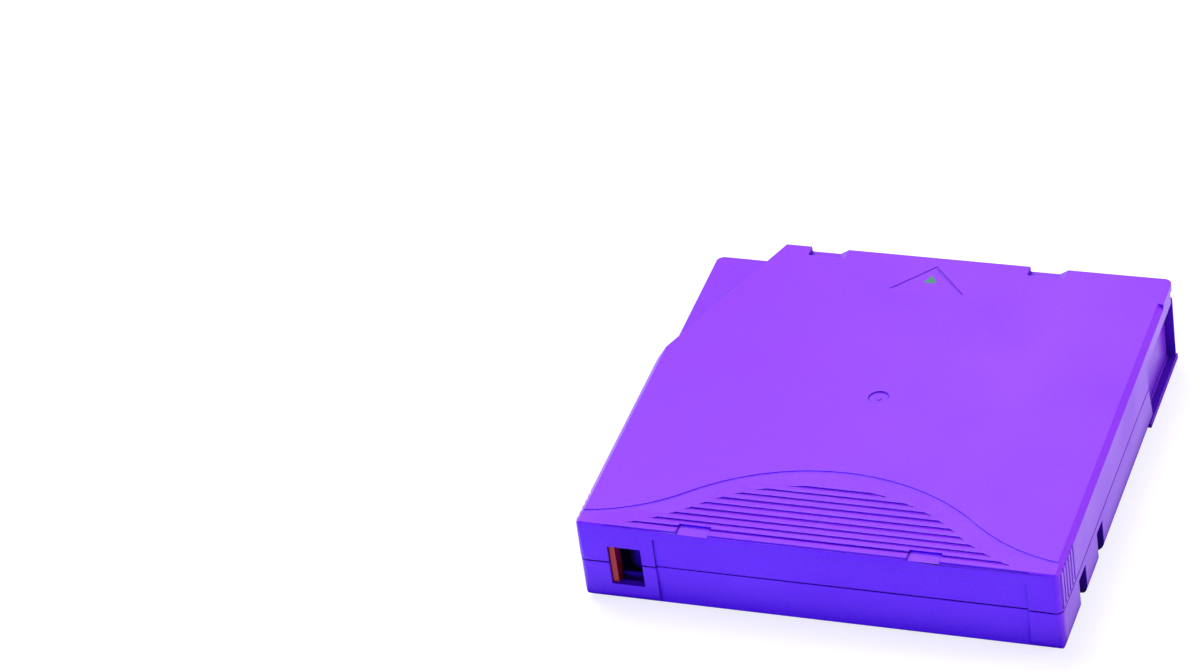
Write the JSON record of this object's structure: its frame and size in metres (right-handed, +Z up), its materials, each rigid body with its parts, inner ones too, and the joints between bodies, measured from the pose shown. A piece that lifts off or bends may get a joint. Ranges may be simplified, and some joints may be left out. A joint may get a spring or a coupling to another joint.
{
  "type": "data tape cartridge",
  "caption": "Flat square purple tape cartridge with a stepped finger grip, sliding side door, red write-protect slider and a toothed reel showing through the underside.",
  "frame": {"origin": "centre of the underside, below the reel axis", "axes": "+Y is the way the cartridge goes into the drive, +X is the side with the access door, +Z is up"},
  "size_m": [0.1054, 0.102, 0.0215],
  "materials": {
    "case_plastic": "satin moulded polycarbonate, purple",
    "slider_plastic": "moulded, red",
    "reel_plastic": "moulded glass-filled polycarbonate, light grey",
    "brake_plastic": "moulded acetal, natural white",
    "clip_plastic": "moulded, black",
    "plate_steel": "stamped magnetic steel",
    "pin_steel": "turned and polished",
    "screw_steel": "zinc plated",
    "spring_steel": "drawn spring wire and strip",
    "tape_film": "coated polyester film",
    "board_laminate": "glass-epoxy laminate, green",
    "chip_epoxy": "moulded epoxy, black"
  },
  "bodies": {
    "case": {"upper_shell": "case_plastic", "lower_shell": "case_plastic", "case_screws": "screw_steel", "tape_lead": "tape_film", "leader_pin": "pin_steel", "pin_tape_clip": "clip_plastic", "pin_retaining_spring": "spring_steel", "brake_spring": "spring_steel", "door_spring": "spring_steel", "memory_board": "board_laminate", "memory_chip": "chip_epoxy"},
    "door": {"access_door": "case_plastic"},
    "slider": {"write_protect_slider": "slider_plastic"},
    "reel": {"reel_hub": "reel_plastic", "upper_flange": "reel_plastic", "drive_plate": "plate_steel", "tape_pack": "tape_film"},
    "release": {"release_plate": "brake_plastic"},
    "brake": {"brake_button": "brake_plastic"}
  },
  "joints": [
    {"name": "door_slide", "type": "slide", "parent": "case", "child": "door", "axis": [0, -1, 0], "range_m": [0, 0.024], "stiffness_N_per_m": 30, "springref_m": -0.02, "deforming": ["door_spring"]},
    {"name": "write_protect_slide", "type": "slide", "parent": "case", "child": "slider", "axis": [1, 0, 0], "range_m": [0, 0.0057]},
    {"name": "reel_spin", "type": "hinge", "parent": "case", "child": "reel", "pos_m": [0, 0, 0], "axis": [0, 0, 1], "continuous": true},
    {"name": "brake_lift", "type": "slide", "parent": "case", "child": "brake", "axis": [0, 0, 1], "range_m": [0, 0.0018], "stiffness_N_per_m": 800, "springref_m": -0.005, "deforming": ["brake_spring"]},
    {"name": "release_lift", "type": "slide", "parent": "reel", "child": "release", "axis": [0, 0, 1], "range_m": [0, 0.0018]}
  ],
  "couplings": [
    {"joint": "release_lift", "follows": "brake_lift", "ratio": 1}
  ]
}
